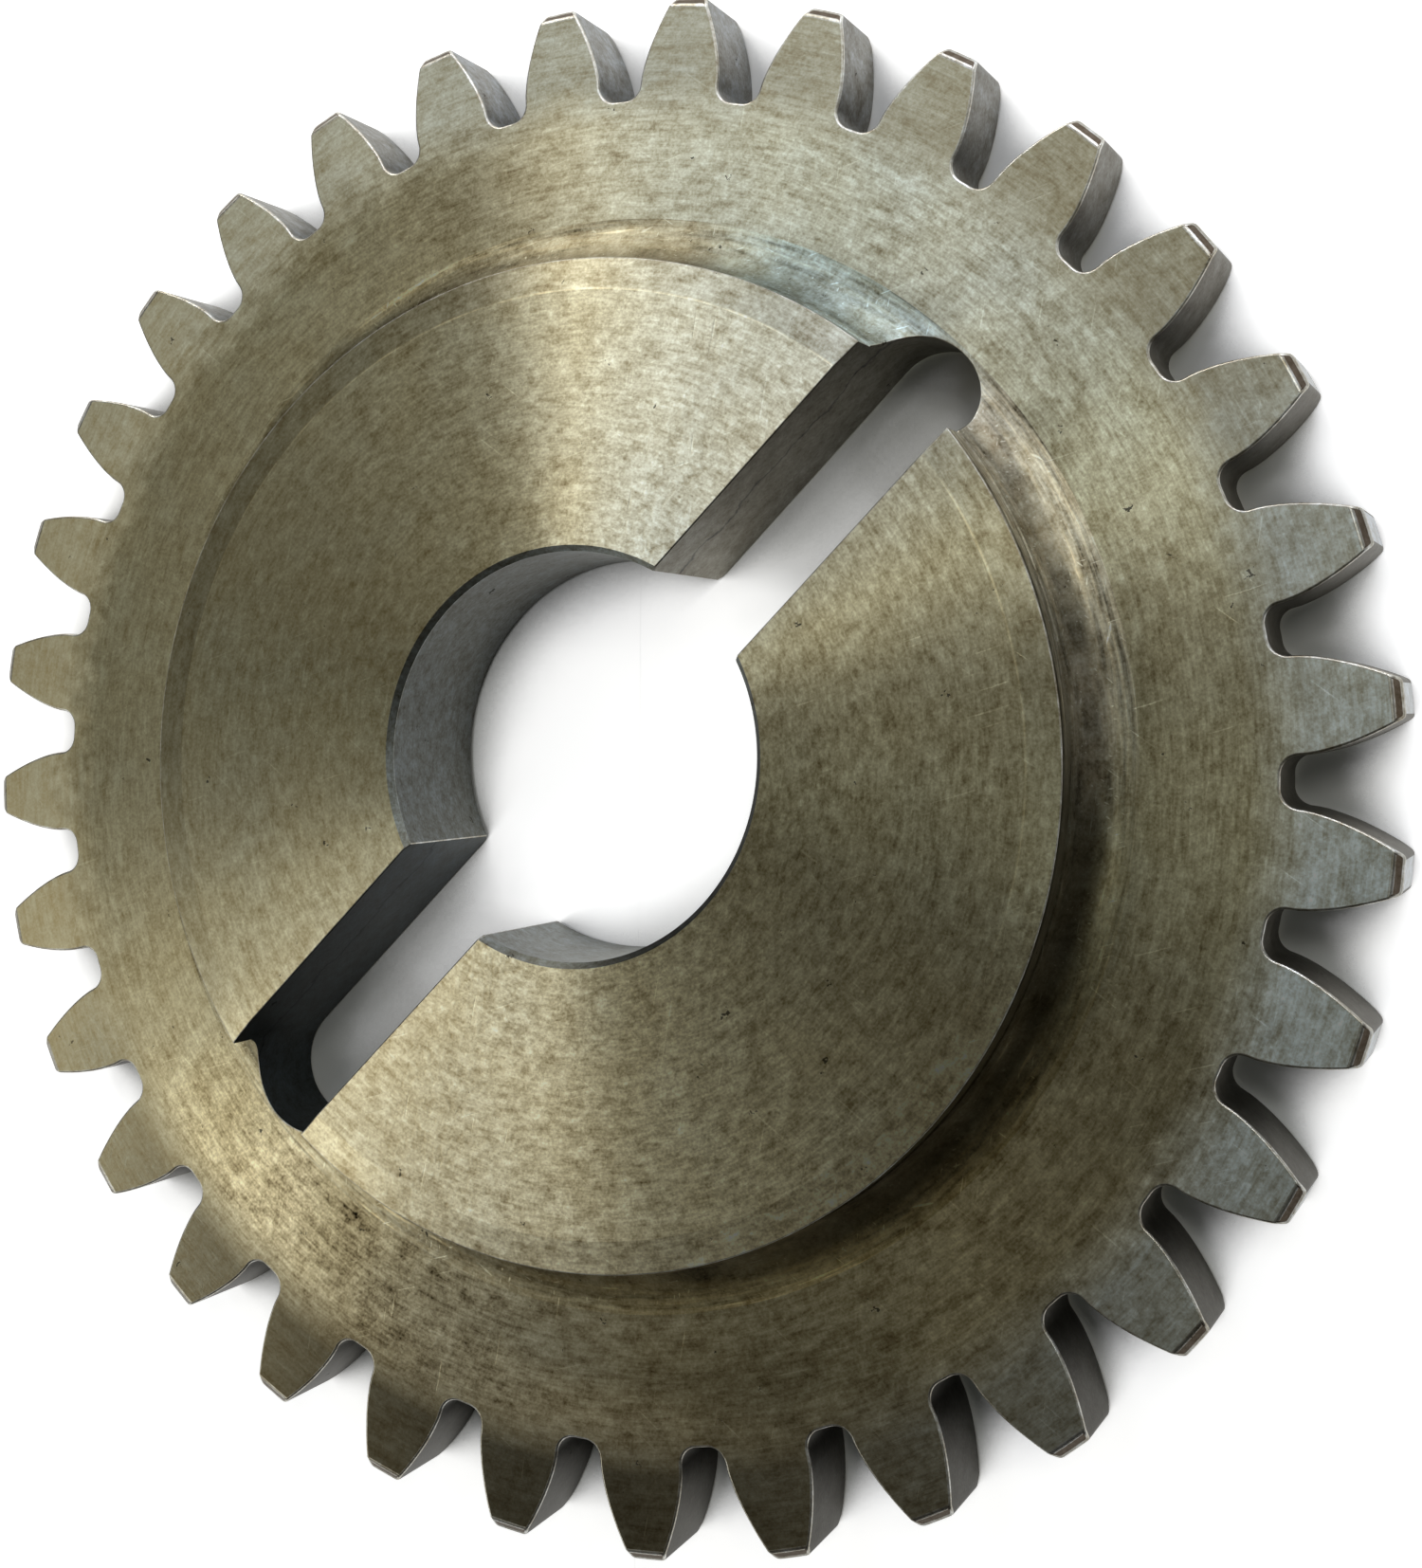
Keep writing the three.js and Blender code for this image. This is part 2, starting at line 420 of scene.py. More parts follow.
def section():
    """The turned section, from the back of the web inwards, up the bore and out to the front of the web."""
    top = TOTAL_THICKNESS
    inner = BORE_RADIUS + BORE_CHAMFER
    wall_foot = HUB_RADIUS + FOOT_STEP
    foot_z = WEB_THICKNESS + COVE_HEIGHT
    slope = HUB_RIM_DROP / (HUB_RADIUS - HUB_RING_RADIUS)
    tilt = math.atan(slope)
    rim = HUB_RADIUS - RIM_EDGE
    rim_z = top - slope * (rim - HUB_RING_RADIUS)
    rim_middle = HUB_RADIUS - RIM_EDGE * (1 - LEAN)

    cove_turn = math.acos((COVE_RADIUS - COVE_HEIGHT) / COVE_RADIUS)
    cove_centre = wall_foot + COVE_RADIUS * math.sin(cove_turn)
    cove_centre_z = WEB_THICKNESS + COVE_RADIUS
    cove_turns = [cove_turn * i / COVE_STEPS for i in range(COVE_STEPS + 1)]
    cove_radii = [cove_centre - COVE_RADIUS * math.sin(turn) for turn in cove_turns]

    end_radii = [r for r in slot_end_radii() if not rim - LEAST_RING < r < wall_foot + LEAST_RING]
    radii = [rim, rim_middle, HUB_RADIUS, *cove_radii, *end_radii]
    key_radii = sorted({round(r, SAME_DIGITS) for r in radii})

    rounding = [
        (rim, rim_z, math.sin(tilt), math.cos(tilt)),
        (rim_middle, rim_z - RIM_EDGE * (1 - LEAN), LEAN, LEAN),
        (HUB_RADIUS, rim_z - RIM_EDGE, 1.0, 0.0),
    ]
    cove = []
    for r in [r for r in key_radii if wall_foot - CLOSE <= r <= cove_centre + CLOSE]:
        sine = (cove_centre - r) / COVE_RADIUS
        cosine = math.sqrt(1 - sine ** 2)
        cove.append((r, cove_centre_z - COVE_RADIUS * cosine, sine, cosine))
    web_start = (cove[-1][0], WEB_THICKNESS)

    return [
        (straight((INNER_JOIN, 0), (inner, 0), (0, -1), key_radii), FACE),
        (straight((inner, 0), (BORE_RADIUS, BORE_CHAMFER), (-1, -1)), BORE),
        (straight((BORE_RADIUS, BORE_CHAMFER), (BORE_RADIUS, top - BORE_CHAMFER), (-1, 0)), BORE),
        (straight((BORE_RADIUS, top - BORE_CHAMFER), (inner, top), (-1, 1)), BORE),
        (straight((inner, top), (HUB_RING_RADIUS, top), (0, 1)), FACE),
        (straight((HUB_RING_RADIUS, top), (rim, rim_z), (slope, 1), key_radii), FACE),
        (rounding, EDGE),
        (straight((HUB_RADIUS, rim_z - RIM_EDGE), (HUB_RADIUS, foot_z + FOOT_RISE), (1, 0)), COVE),
        (straight((HUB_RADIUS, foot_z + FOOT_RISE), (wall_foot, foot_z), (0.5, 0.9)), COVE),
        (cove, COVE),
        (straight(web_start, (INNER_JOIN, WEB_THICKNESS), (0, 1), key_radii), FACE),
    ]


def add_turned(skin, parts):
    """Turns the section round the axis, in two halves that stop at the slot's lips."""
    for rows, material in parts:
        for start_turn in (0.0, math.pi):
            points, normals = [], []
            for r, z, out, up in rows:
                gap = slot_angle(r)
                turns = np.linspace(start_turn + gap, start_turn + math.pi - gap, HALF_TURN_STEPS + 1)
                points.append([(*polar(r, t), z) for t in turns])
                normals.append([(*polar(out, t), up) for t in turns])
            skin.add_grid(points, normals, material)


# ---- Slot ----

class Link:
    """A place where the section meets the slot's lip, with the section's normals before and after it."""

    def __init__(self, radius, z, normal):
        self.radius = radius
        self.z = z
        self.before = normal
        self.after = normal

    def matches(self, radius, z):
        return abs(self.radius - radius) < CLOSE and abs(self.z - z) < CLOSE

    def normal(self, section_normal):
        out, up = section_normal
        return np.array([*polar(out, self.turn), up])

    def place(self):
        """Works out the points of the rounded edge: on the lip, in its middle and on the slot's wall."""
        self.turn = slot_angle(self.radius)
        x, y = polar(self.radius, self.turn)
        out = (self.before[0] + self.after[0]) / 2
        up = (self.before[1] + self.after[1]) / 2
        (wall_x, wall_y), wall_normal = slot_wall(x - SLOT_EDGE * min(out, 0.0), y)
        self.lip = np.array([x, y, self.z])
        self.wall = np.array([wall_x, wall_y, self.z - SLOT_EDGE * up])
        self.wall_normal = np.array([*wall_normal, 0.0])
        self.middle = self.lip + (self.wall - self.lip) * (LEAN, LEAN, 1 - LEAN)


def slot_wall(x, y):
    """The nearest point on the slot's +X, +Y quarter wall, and the wall's normal there."""
    if x <= SLOT_END_CENTRE + CLOSE:
        return (x, SLOT_HALF), (0.0, -1.0)
    away = np.array([x - SLOT_END_CENTRE, y])
    away /= np.linalg.norm(away)
    return (SLOT_END_CENTRE + SLOT_HALF * away[0], SLOT_HALF * away[1]), (-away[0], -away[1])


def slot_chain(parts):
    """The links once round the section, as far out as the slot's end."""
    chain = []
    for rows, _ in parts:
        for r, z, out, up in rows:
            if r > SLOT_APEX + CLOSE:
                continue
            if chain and chain[-1].matches(r, z):
                chain[-1].after = (out, up)
            else:
                chain.append(Link(r, z, (out, up)))
    for link in chain:
        link.place()
    return chain


def slot_quarter(chain):
    """The faces of one quarter's lips and walls: points, normals and material."""
    faces = []
    for a, b in zip(chain, chain[1:]):
        top_a, top_b = a.normal(a.after), b.normal(b.before)
        mid_a, mid_b = halved(top_a, a.wall_normal), halved(top_b, b.wall_normal)
        faces.append(([a.lip, b.lip, b.middle, a.middle], [top_a, top_b, mid_b, mid_a], EDGE))
        walls = [b.wall_normal, a.wall_normal]
        faces.append(([a.middle, b.middle, b.wall, a.wall], [mid_a, mid_b, *walls], SLOT))

    flat = [link for link in chain if link.radius <= SLOT_STRAIGHT_END + CLOSE]
    faces.append(([link.wall for link in flat], [np.array([0.0, -1.0, 0.0])] * len(flat), SLOT))

    front_start = next(i for i, link in enumerate(chain) if link.z > WEB_THICKNESS / 2)
    back = [link for link in chain[:front_start] if link.radius >= SLOT_STRAIGHT_END - CLOSE][::-1]
    front = [link for link in chain[front_start:] if link.radius >= SLOT_STRAIGHT_END - CLOSE]
    for low_a, low_b in zip(back, back[1:]):
        at_a = [link for link in front if abs(link.radius - low_a.radius) < CLOSE]
        at_b = [link for link in front if abs(link.radius - low_b.radius) < CLOSE]
        ring = [low_a, low_b, *reversed(at_b), at_a[-1]]
        faces.append(([link.wall for link in ring], [link.wall_normal for link in ring], SLOT))
    return faces


def add_slot(skin, parts):
    """The slot's rounded lips and its walls, worked out for one quarter and mirrored into the other three."""
    quarter = slot_quarter(slot_chain(parts))
    for sx in (1, -1):
        for sy in (1, -1):
            mirror = np.array([sx, sy, 1])
            for points, normals, material in quarter:
                skin.add_face(
                    [tuple(point * mirror) for point in points],
                    [tuple(normal * mirror) for normal in normals],
                    material,
                )


def build_gear(materials):
    skin = Skin()
    add_web_join(skin, add_teeth(skin))
    parts = section()
    add_turned(skin, parts)
    add_slot(skin, parts)
    return skin.to_object("gear_body", materials)


# ---- Material nodes ----

MIX_COLOUR_INPUTS = (6, 7)  # the Mix node's two colours
MIX_COLOUR_OUTPUT = 2


class Nodes:
    """Adds nodes to a material, with their inputs given as values or as other nodes' outputs."""

    def __init__(self, material):
        material.use_nodes = True
        self.tree = material.node_tree
        self.shader = self.tree.nodes["Principled BSDF"]

    def connect(self, value, socket):
        if isinstance(value, bpy.types.NodeSocket):
            self.tree.links.new(value, socket)
        elif isinstance(value, (tuple, list)) and socket.type == "RGBA":
            socket.default_value = (*value, 1)
        else:
            socket.default_value = value

    def add(self, kind, *inputs, out=0, settings=None, **named):
        node = self.tree.nodes.new("ShaderNode" + kind)
        for key, value in (settings or {}).items():
            setattr(node, key, value)
        for i, value in enumerate(inputs):
            if value is not None:
                self.connect(value, node.inputs[i])
        for key, value in named.items():
            self.connect(value, node.inputs[key.replace("_", " ")])
        return node.outputs[out]

    def maths(self, operation, *inputs, clamp=False):
        return self.add("Math", *inputs, settings={"operation": operation, "use_clamp": clamp})

    def product(self, first, *others):
        for other in others:
            first = self.maths("MULTIPLY", first, other)
        return first

    def sway(self, texture, amount, value):
        """The value, moved up and down by a texture that is 0.5 on average."""
        return self.maths("MULTIPLY_ADD", self.maths("SUBTRACT", texture, 0.5), amount, value)

    def scaled(self, value, amount, *masks):
        """The value, times 1 + amount where all the masks are 1."""
        return self.maths("MULTIPLY", value, self.maths("MULTIPLY_ADD", self.product(*masks), amount, 1.0))

    def noise(self, vector, scale=1.0, detail=2.0, roughness=0.5):
        return self.add("TexNoise", Vector=vector, Scale=scale, Detail=detail, Roughness=roughness)

    def ramp(self, value, low, high, to_low=0.0, to_high=1.0):
        return self.add("MapRange", value, low, high, to_low, to_high)

    def mix(self, amount, a, b, blend="MIX"):
        node = self.tree.nodes.new("ShaderNodeMix")
        node.data_type = "RGBA"
        node.blend_type = blend
        self.connect(amount, node.inputs[0])
        for colour, i in zip((a, b), MIX_COLOUR_INPUTS):
            self.connect(colour, node.inputs[i])
        return node.outputs[MIX_COLOUR_OUTPUT]


class Surface:
    """A material's nodes and the coordinates that its textures use, in millimetres."""

    def __init__(self, nodes):
        self.n = n = nodes
        place = n.add("TexCoord", out="Object")
        self.place = n.add("VectorMath", place, (1 / MM,) * 3, settings={"operation": "MULTIPLY"})
        split = n.tree.nodes.new("ShaderNodeSeparateXYZ")
        n.connect(self.place, split.inputs[0])
        x, y, self.z = split.outputs
        self.radius = n.maths("SQRT", n.maths("ADD", n.maths("MULTIPLY", x, x), n.maths("MULTIPLY", y, y)))
        self.round_x = n.maths("DIVIDE", x, self.radius)
        self.round_y = n.maths("DIVIDE", y, self.radius)

    def turned(self, across, along):
        """Coordinates that stretch a texture along circles round the gear's axis."""
        n = self.n
        return n.add(
            "CombineXYZ",
            n.maths("MULTIPLY", n.maths("ADD", self.radius, self.z), across),
            n.maths("MULTIPLY", self.round_x, along),
            n.maths("MULTIPLY", self.round_y, along),
        )

    def scratch(self, angle, threshold):
        """Sparse fine lines in one direction."""
        n = self.n
        spun = n.add(
            "VectorRotate", self.place, None, (0.0, 0.0, 1.0), math.radians(angle),
            settings={"rotation_type": "AXIS_ANGLE"},
        )
        spun = n.add("VectorMath", spun, (0.4, 9.0, 9.0), settings={"operation": "MULTIPLY"})
        return n.ramp(n.noise(spun, detail=0.0), threshold, threshold + 0.06)

    def scratches(self):
        n = self.n
        return n.maths(
            "MAXIMUM",
            self.scratch(28, 0.78),
            n.maths("MAXIMUM", self.scratch(-35, 0.78), self.scratch(81, 0.79)),
        )

    def pits(self, size):
        """1 in small ragged pits, which come in clusters."""
        n = self.n
        ragged = n.add("TexNoise", Vector=self.place, Scale=4.0, out="Color")
        bent = n.add("VectorMath", self.place, ragged, settings={"operation": "ADD"})
        distance = n.add("TexVoronoi", Vector=bent, Scale=0.7, Randomness=1.0)
        return n.maths("LESS_THAN", distance, n.ramp(n.noise(self.place, 0.5, 1.0), 0.45, 0.75, 0.0, size))

    def band(self, value, centre, half_width, softness):
        """1 within half_width of the centre, falling to 0 over the softness."""
        n = self.n
        away = n.maths("ABSOLUTE", n.maths("SUBTRACT", value, centre))
        return n.ramp(away, half_width, half_width + softness, 1.0, 0.0)

    def toward(self, azimuth, low=0.2, high=1.0):
        """1 on the gear's side that lies at an azimuth, falling to 0 away from it.

        low and high are the cosines of the angles away from it at which the fall ends and starts.
        """
        n = self.n
        a = math.radians(azimuth)
        across = n.maths("MULTIPLY", self.round_y, math.sin(a))
        return n.ramp(n.maths("MULTIPLY_ADD", self.round_x, math.cos(a), across), low, high)

    def tinted(self, amount, colour, red, blue):
        """The colour with its red and blue multiplied, as far as the amount says."""
        return self.n.mix(amount, colour, self.n.mix(1.0, colour, (red, 1.0, blue), "MULTIPLY"))


# ---- Steel ----

GRAIN = 0.75  # strength of the grain of about 0.3 mm
SPECKLE = 0.75  # strength of the grain of about 0.1 mm
WORN_SOFTNESS = 1.2  # half the width of the border where the turning lines wear away
PIT_COLOUR = (0.05, 0.045, 0.035)
ACROSS_GROOVES = 0.25  # a quarter turn, as grooves scatter light across themselves
BUMP = 0.005 * MM  # height that a relief of 1 gives


def steel(
    name, colour, roughness, anisotropy=0.0, lay=1.05, grime=0.9,
    scratches=0.2, pitting=0.12, relief=1.0, detail=None, worn=None,
):
    """Machined steel.

    lay says how strongly the turning lines show, grime the patches of 1 mm, and scratches and pitting those
    marks. relief is the depth of it all. detail(surface, tone, colour) may change the tone and colour at set
    places. Outside the radius worn, the turning lines no longer stretch the highlights.
    """
    material = bpy.data.materials.new(name)
    n = Nodes(material)
    s = Surface(n)
    fine_lines = n.noise(s.turned(across=6.0, along=20.0), detail=3.0, roughness=0.65)
    broad_lines = n.noise(s.turned(across=2.2, along=14.0))
    coarse_grain = n.noise(s.place, scale=2.8, roughness=0.6)
    fine_grain = n.noise(s.place, scale=7.5, detail=1.0, roughness=0.6)
    patches = n.noise(s.place, scale=1.1, detail=3.0, roughness=0.65)
    cloud = n.noise(s.place, scale=0.14)
    marks = s.scratches()
    pits = s.pits(pitting)

    tone = 1.0
    tone = n.sway(fine_lines, lay, tone)
    tone = n.sway(broad_lines, lay * 0.7, tone)
    tone = n.sway(coarse_grain, GRAIN, tone)
    tone = n.sway(fine_grain, SPECKLE, tone)
    tone = n.sway(patches, grime, tone)
    tone = n.maths("MULTIPLY_ADD", marks, scratches, tone)

    # Dark grains are browner and light ones whiter
    warmth = n.add("CombineColor", 1.0, n.maths("POWER", tone, 0.15), n.maths("POWER", tone, 0.42))
    hue = s.tinted(n.ramp(cloud, 0.35, 0.65), colour, 1.03, 0.94)
    hue = n.mix(1.0, hue, warmth, "MULTIPLY")
    if detail:
        tone, hue = detail(s, tone, hue)
    base = n.mix(1.0, hue, n.add("CombineColor", tone, tone, tone), "MULTIPLY")
    base = n.mix(n.maths("MULTIPLY", pits, 0.8), base, PIT_COLOUR)

    rough = n.sway(patches, 0.05, roughness)
    rough = n.sway(coarse_grain, 0.05, rough)
    rough = n.maths("MULTIPLY_ADD", pits, 0.3, rough, clamp=True)

    height = n.maths("MULTIPLY", fine_lines, lay)
    height = n.maths("MULTIPLY_ADD", coarse_grain, GRAIN, height)
    height = n.maths("MULTIPLY_ADD", fine_grain, SPECKLE * 0.5, height)
    height = n.maths("MULTIPLY_ADD", marks, -0.3, height)
    height = n.maths("MULTIPLY_ADD", pits, -1.5, height)
    normal = n.add("Bump", Strength=1.0, Distance=BUMP * relief, Height=height)

    def finish(shader):
        n.connect(base, shader.inputs["Base Color"])
        n.connect(rough, shader.inputs["Roughness"])
        n.connect(normal, shader.inputs["Normal"])
        shader.inputs["Metallic"].default_value = 1.0

    finish(n.shader)
    if anisotropy:
        n.shader.inputs["Anisotropic"].default_value = anisotropy
        n.shader.inputs["Anisotropic Rotation"].default_value = ACROSS_GROOVES
        tangent = n.add("Tangent", settings={"direction_type": "RADIAL", "axis": "Z"})
        n.connect(tangent, n.shader.inputs["Tangent"])
    if worn:
        plain = n.tree.nodes.new("ShaderNodeBsdfPrincipled")
        finish(plain)
        wear = n.ramp(n.sway(patches, 2.5, s.radius), worn - WORN_SOFTNESS, worn + WORN_SOFTNESS)
        mixed = n.add("MixShader", wear, n.shader.outputs[0], plain.outputs[0])
        n.connect(mixed, n.tree.nodes["Material Output"].inputs["Surface"])
    return material


# ---- How the steel's tone and colour drift round the gear: painted reflections and shade ----
#
# Each row names a zone, the azimuth of its middle, and the cosines of the angles away from it at which the
# drift ends and is full. Then come the change in tone, or the factors on red and blue.
# The drifts are painted into the steel's colour: partly wear, and partly painted reflections, highlights
# and shade, which turn with the gear.

FACE_SHIFTS = (
    ("hub", 108, 0.2, 1.0, -0.2),
    ("rim", 100, 0.2, 1.0, -0.25),
    ("rim", 5, 0.5, 1.0, -0.25),
    ("rim", 275, 0.8, 1.0, 0.4),
    ("hub", 310, 0.55, 1.0, -0.25),
    ("web", 105, 0.0, 0.9, 0.22),
    ("web", 45, 0.93, 1.0, -0.24),
    ("web", 10, 0.93, 1.0, 0.12),
    ("web", 342, 0.93, 1.0, 0.15),
    ("teeth", 217, 0.45, 1.0, -0.85),
    ("teeth", 20, 0.7, 1.0, -0.25),
    ("teeth", 305, 0.7, 1.0, 0.45),
)
FACE_TINTS = (
    ("hub", 12, 0.85, 1.0, 0.93, 1.17),
    ("web", 10, 0.7, 1.0, 0.91, 1.14),
    ("web", 225, 0.2, 1.0, 1.05, 0.9),
    ("teeth", 300, 0.6, 1.0, 0.85, 1.4),
    ("teeth", 60, 0.7, 1.0, 0.94, 1.13),
)
COVE_SHIFTS = (
    ("inner", 285, 0.6, 0.95, -0.65),
    ("middle", 270, 0.4, 0.9, 0.6),
    ("not outer", 118, 0.35, 0.95, -0.62),
    ("outer", 105, 0.0, 0.9, 0.22),
    ("all", 64, 0.96, 0.995, 0.75),
    ("all", 48, 0.88, 1.0, -0.33),
    ("all", 46, 0.98, 1.0, -0.2),
    ("all", 23, 0.985, 1.0, 0.35),
    ("all", 338, 0.88, 1.0, 0.3),
)
COVE_TINTS = (
    ("all", 14, 0.94, 0.99, 0.8, 1.28),
    ("all", 338, 0.85, 1.0, 0.97, 1.18),
    ("all", 255, 0.6, 1.0, 1.08, 0.8),
)


def drift(s, zones, shifts, tints, tone, colour):
    """The tone and colour after the painted drifts of reflection, shade and wear in two tables, with the
    zones' masks given by name.
    """
    n = s.n
    for zone, azimuth, low, high, amount in shifts:
        tone = n.scaled(tone, amount, *zones[zone], s.toward(azimuth, low, high))
    for zone, azimuth, low, high, red, blue in tints:
        colour = s.tinted(n.product(*zones[zone], s.toward(azimuth, low, high)), colour, red, blue)
    return tone, colour


def face_detail(s, tone, colour):
    """A painted highlight on the ring line of the hub's face, and the painted drift of tone and colour over
    the hub, web and teeth.
    """
    n = s.n
    on_hub = n.maths("GREATER_THAN", s.z, TOTAL_THICKNESS - 2 * HUB_RIM_DROP)
    off_hub = n.maths("SUBTRACT", 1.0, on_hub)
    on_teeth = n.ramp(s.radius, WORN_RADIUS - WORN_SOFTNESS, WORN_RADIUS + WORN_SOFTNESS)
    on_web = n.maths("SUBTRACT", off_hub, on_teeth, clamp=True)
    on_rim = n.maths("MULTIPLY", n.maths("GREATER_THAN", s.radius, HUB_RING_RADIUS), on_hub)

    # The grain is weaker or stronger on some sides
    contrast = n.maths("MULTIPLY_ADD", s.toward(135, 0.3), -0.35, 1.0)
    contrast = n.maths("MULTIPLY_ADD", s.toward(265, 0.3), 0.15, contrast)
    contrast = n.maths("MULTIPLY_ADD", n.maths("MULTIPLY", on_web, s.toward(193, 0.88)), 0.8, contrast)
    contrast = n.maths("MULTIPLY_ADD", on_teeth, -0.3, contrast)
    tone = n.maths("MULTIPLY_ADD", n.maths("SUBTRACT", tone, 1.0), contrast, 1.0)

    # Painted highlight: the ring line is brightened, broken up, and fades on the side away from azimuth 20
    line = s.band(s.radius, HUB_RING_RADIUS, half_width=0.02, softness=0.05)
    broken = n.ramp(n.noise(s.turned(across=0.5, along=16.0)), 0.35, 0.6)
    tone = n.maths("MULTIPLY_ADD", n.product(line, on_hub, broken, s.toward(20, -0.4, 0.8)), 0.6, tone)

    tone = n.scaled(tone, 0.16, on_hub)
    tone = n.scaled(tone, -0.06, off_hub)
    # Painted shade: the web darkens on its side at azimuth 225, more towards the teeth
    tone = n.scaled(tone, n.ramp(s.radius, 24.5, 28.0, -0.3, -0.48), on_web, s.toward(225, 0.78, 0.95))
    zones = {"hub": [on_hub], "rim": [on_rim], "web": [on_web], "teeth": [on_teeth]}
    return drift(s, zones, FACE_SHIFTS, FACE_TINTS, tone, colour)


def cove_detail(s, tone, colour):
    """Streaks along the hub's rim and in the cove, a dark line just under the rim, and painted shade that
    darkens the cove next to the hub's wall, thinning out towards the web.
    """
    n = s.n
    streaks = n.noise(s.turned(across=4.5, along=5.0), detail=3.0, roughness=0.65)
    tone = n.sway(streaks, n.maths("MULTIPLY_ADD", s.toward(338, 0.85), 1.6, 1.9), tone)
    tone = n.maths("MULTIPLY_ADD", n.ramp(streaks, 0.64, 0.7), 0.7, tone)
    # Painted shade: darkest next to the hub's wall, lighter towards the web
    tone = n.maths("MULTIPLY", tone, n.ramp(s.radius, HUB_RADIUS + 0.3, COVE_END, 0.45, 0.9))
    rim = s.band(s.z, TOTAL_THICKNESS - HUB_RIM_DROP - 0.2, half_width=0.05, softness=0.15)
    tone = n.maths("MULTIPLY_ADD", rim, -0.3, tone)

    inner = n.ramp(s.radius, HUB_RADIUS + 0.8, HUB_RADIUS + 1.6, 1.0, 0.0)
    middle = s.band(s.radius, HUB_RADIUS + 1.4, half_width=0.2, softness=0.6)
    outer = n.ramp(s.radius, HUB_RADIUS + 1.0, COVE_END)
    not_outer = n.maths("SUBTRACT", 1.0, outer)
    zones = {"inner": [inner], "middle": [middle], "outer": [outer], "not outer": [not_outer], "all": []}
    tone, colour = drift(s, zones, COVE_SHIFTS, COVE_TINTS, tone, colour)
    return n.maths("MAXIMUM", tone, 0.05), colour


def bore_detail(s, tone, colour):
    """A painted highlight on one side of the front chamfer and painted shade on the other, and painted shade
    on one side of the bore.
    """
    n = s.n
    foot = TOTAL_THICKNESS - BORE_CHAMFER
    chamfer = n.ramp(s.z, foot - 0.05, foot)
    # Painted highlight on the chamfer towards azimuth 100, painted shade on it towards azimuth 250
    bright = n.maths("MULTIPLY", chamfer, s.toward(100, -1.0, 0.5))
    shaded = n.maths("MULTIPLY", chamfer, s.toward(250, -0.2, 0.5))
    tone = n.maths("MULTIPLY", tone, n.ramp(bright, 0.0, 1.0, 1.0, 3.0))
    tone = n.maths("MULTIPLY", tone, n.ramp(shaded, 0.0, 1.0, 1.0, 0.4))
    # Painted shade on the bore's side at azimuth 115
    return n.scaled(tone, -0.4, s.toward(115, 0.3)), colour


def flank_detail(s, tone, colour):
    """Painted shade that darkens the flanks on one side of the gear, and a painted bluish reflection that
    brightens them on the other.
    """
    n = s.n
    bright = s.toward(55, 0.3)
    # Painted shade towards azimuth 230, painted bluish reflection towards azimuth 55
    tone = n.scaled(tone, -0.55, s.toward(230, 0.0, 0.9))
    tone = n.scaled(tone, 1.8, bright)
    return tone, s.tinted(bright, colour, 0.9, 1.25)


def edge_detail(s, tone, colour):
    """Edges of the teeth, brighter on one side of the gear: partly rubbed bright by wear, partly a painted
    highlight.
    """
    n = s.n
    on_teeth = n.ramp(s.radius, WORN_RADIUS - 2.0, WORN_RADIUS)
    # Partly a painted highlight on the edges towards azimuth 30
    return n.scaled(tone, 0.35, s.toward(30, 0.3), on_teeth), colour


def slot_detail(s, tone, colour):
    """A ragged dark line part way down the slot's wall, and painted shade with a bluish painted reflection on
    the walls of the -X side.
    """
    n = s.n
    # Painted shade and a bluish painted reflection on the -X side's walls
    dark_side = s.toward(180, 0.0, 0.5)
    wander = n.noise(s.place, scale=0.6, detail=3.0, roughness=0.7)
    line = s.band(n.maths("MULTIPLY_ADD", wander, 1.6, s.z), 5.3, half_width=0.04, softness=0.1)
    tone = n.maths("MULTIPLY_ADD", line, -0.6, tone)
    tone = n.maths("MULTIPLY", tone, n.maths("MULTIPLY_ADD", dark_side, -0.66, 1.05))
    return tone, s.tinted(dark_side, colour, 0.8, 1.3)


# ---- The eight steels ----

def face_steel():
    colour = (0.62, 0.57, 0.40)
    return steel("steel_face", colour, 0.41, 0.92, relief=1.2, detail=face_detail, worn=WORN_RADIUS)


def cove_steel():
    colour = (0.575, 0.52, 0.355)
    return steel("steel_cove", colour, 0.42, 0.88, lay=1.1, scratches=0.6, relief=1.4, detail=cove_detail)


def flank_steel():
    # Much darker than the faces' steel: partly the flanks' own dark finish, partly painted shade
    colour = (0.095, 0.087, 0.067)
    return steel(
        "steel_flank", colour, 0.5, lay=0.0, grime=1.6, scratches=0.3, relief=1.5, detail=flank_detail)


def bore_steel():
    colour = (0.155, 0.163, 0.152)
    return steel("steel_bore", colour, 0.42, 0.5, lay=0.9, pitting=0.15, detail=bore_detail)


def edge_steel():
    colour = (0.42, 0.41, 0.37)
    return steel("steel_edge", colour, 0.4, lay=0.0, grime=1.6, scratches=0.0, detail=edge_detail)


def chamfer_steel():
    colour = (0.12, 0.095, 0.07)
    return steel("steel_chamfer", colour, 0.5, lay=0.0, grime=1.2, relief=1.5)


def land_steel():
    colour = (0.38, 0.4, 0.41)
    return steel("steel_land", colour, 0.42, lay=0.0)


def slot_steel():
    colour = (0.16, 0.15, 0.118)
    return steel("steel_slot", colour, 0.45, lay=0.3, grime=1.5, pitting=0.15, detail=slot_detail)


# In the order of the material slots
STEELS = (face_steel, cove_steel, flank_steel, bore_steel, edge_steel, chamfer_steel, land_steel, slot_steel)

# ---- Floor, light and camera, in metres ----

FLOOR_SIZE = 15.0  # half the floor's width
FLOOR_GAP = 0.1 * MM  # from the floor to the gear's back face
FLOOR_GREY = (0.65, 0.65, 0.65)
FLOOR_GLOW = 0.84
# The glow's dimming near walls is a painted contact shadow
GLOW_REACH = 8 * MM  # walls closer than this dim the floor's glow
GLOW_START = 0.35  # share of open sky at which the glow starts
GLOW_FULL = 0.64
WORLD_STRENGTH = 0.005

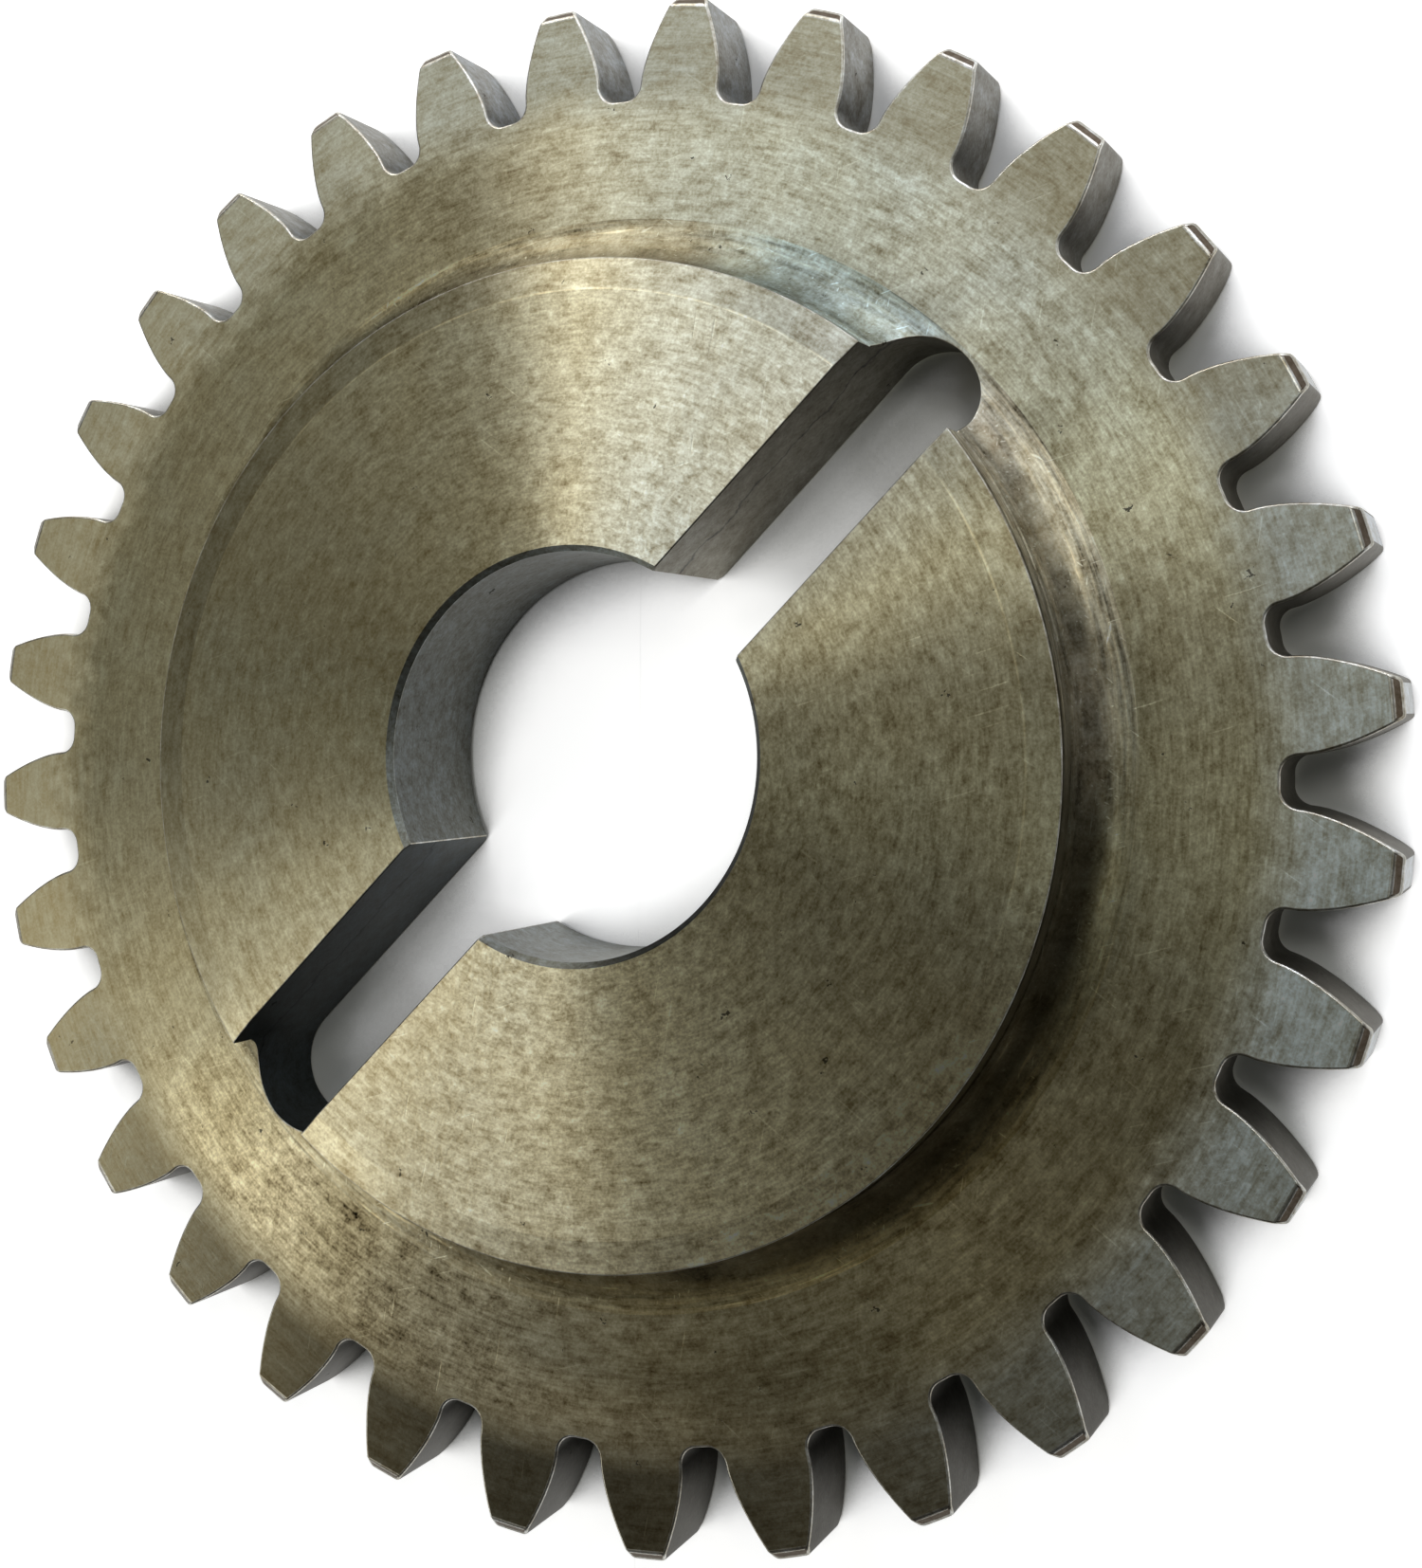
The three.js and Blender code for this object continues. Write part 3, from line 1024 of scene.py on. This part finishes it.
LIGHT_DISTANCE = 0.6
LIGHTS = (
    # azimuth, elevation, size, power, colour
    (15, 24, 0.17, 0.5, (0.97, 1.0, 1.12)),
    (30, 24, 0.17, 0.87, (0.97, 1.0, 1.12)),
    (60, 24, 0.17, 0.44, (1.04, 1.0, 0.92)),
    (74, 24, 0.1, 0.68, (1.04, 1.0, 0.92)),
    (165, 24, 0.17, 0.28, (1.0, 1.0, 0.92)),
    (150, 40, 0.17, 0.1, (1.02, 1.0, 0.86)),
    (165, 40, 0.17, 0.16, (1.08, 1.0, 0.84)),
    (0, 56, 0.17, 0.52, (0.99, 1.0, 0.92)),
    (80, 56, 0.17, 0.27, (0.94, 1.0, 1.1)),
    (120, 56, 0.17, 0.105, (1.01, 1.0, 0.85)),
    (300, 72, 0.17, 0.095, (0.94, 1.0, 0.88)),
    (318, 14, 0.17, 0.14, (1.0, 1.0, 1.0)),
)

CAMERA_PLACE = Vector((31.181, -28.314, 87.119)) * MM
CAMERA_RIGHT = Vector((0.64925, -0.64449, -0.40387))
CAMERA_UP = Vector((0.72744, 0.68122, 0.08233))
CAMERA_LENS = 48.17
CAMERA_SENSOR = 36
CAMERA_SHIFT_Y = -0.1675
CAMERA_NEAR = 0.005
CAMERA_FAR = 40


def add_floor():
    """A pale floor that glows a little, except close to walls, where the dimmed glow is a painted contact
    shadow.
    """
    mesh = bpy.data.meshes.new("floor")
    sides = ((-1, -1), (1, -1), (1, 1), (-1, 1))
    mesh.from_pydata([(x * FLOOR_SIZE, y * FLOOR_SIZE, 0) for x, y in sides], [], [(0, 1, 2, 3)])
    material = bpy.data.materials.new("floor")
    n = Nodes(material)
    open_sky = n.add("AmbientOcclusion", out="AO", Distance=GLOW_REACH)
    glow = n.add("MapRange", open_sky, GLOW_START, GLOW_FULL, settings={"interpolation_type": "SMOOTHSTEP"})
    n.connect(n.maths("MULTIPLY", glow, FLOOR_GLOW), n.shader.inputs["Emission Strength"])
    n.connect((1.0, 1.0, 1.0), n.shader.inputs["Emission Color"])
    n.connect(FLOOR_GREY, n.shader.inputs["Base Color"])
    n.connect(0.9, n.shader.inputs["Roughness"])
    mesh.materials.append(material)
    made = in_scene(bpy.data.objects.new("floor", mesh))
    made.location.z = -FLOOR_GAP
    return made


def add_world():
    world = bpy.data.worlds.new("world")
    world.use_nodes = True
    background = world.node_tree.nodes["Background"]
    background.inputs["Color"].default_value = (1, 1, 1, 1)
    background.inputs["Strength"].default_value = WORLD_STRENGTH
    bpy.context.scene.world = world


def add_light(azimuth, elevation, size, power, colour):
    """A square area light that looks at the gear."""
    name = f"light_{azimuth}_{elevation}"
    data = bpy.data.lights.new(name, "AREA")
    data.shape = "SQUARE"
    data.size = size
    data.energy = power
    data.color = colour
    light = in_scene(bpy.data.objects.new(name, data))
    a, e = math.radians(azimuth), math.radians(elevation)
    away = Vector((math.cos(a) * math.cos(e), math.sin(a) * math.cos(e), math.sin(e)))
    light.location = away * LIGHT_DISTANCE
    light.rotation_mode = "QUATERNION"
    light.rotation_quaternion = away.to_track_quat("Z", "Y")


def add_camera():
    """A camera where the photo was taken from."""
    data = bpy.data.cameras.new("camera")
    data.sensor_fit = "AUTO"
    data.sensor_width = CAMERA_SENSOR
    data.lens = CAMERA_LENS
    data.shift_y = CAMERA_SHIFT_Y
    data.clip_start = CAMERA_NEAR
    data.clip_end = CAMERA_FAR
    camera = in_scene(bpy.data.objects.new("camera", data))
    back = CAMERA_RIGHT.cross(CAMERA_UP).normalized()
    right = CAMERA_UP.cross(back).normalized()
    turn = Matrix((right, back.cross(right), back)).transposed()
    camera.matrix_world = Matrix.Translation(CAMERA_PLACE) @ turn.to_4x4()
    bpy.context.scene.camera = camera


# ---- The scene ----

gear = build_gear([make() for make in STEELS])
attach(gear, "root")
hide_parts("spur_gear")

floor = add_floor()

add_world()
for light in LIGHTS:
    add_light(*light)
add_camera()
bpy.context.scene.view_settings.view_transform = "Standard"
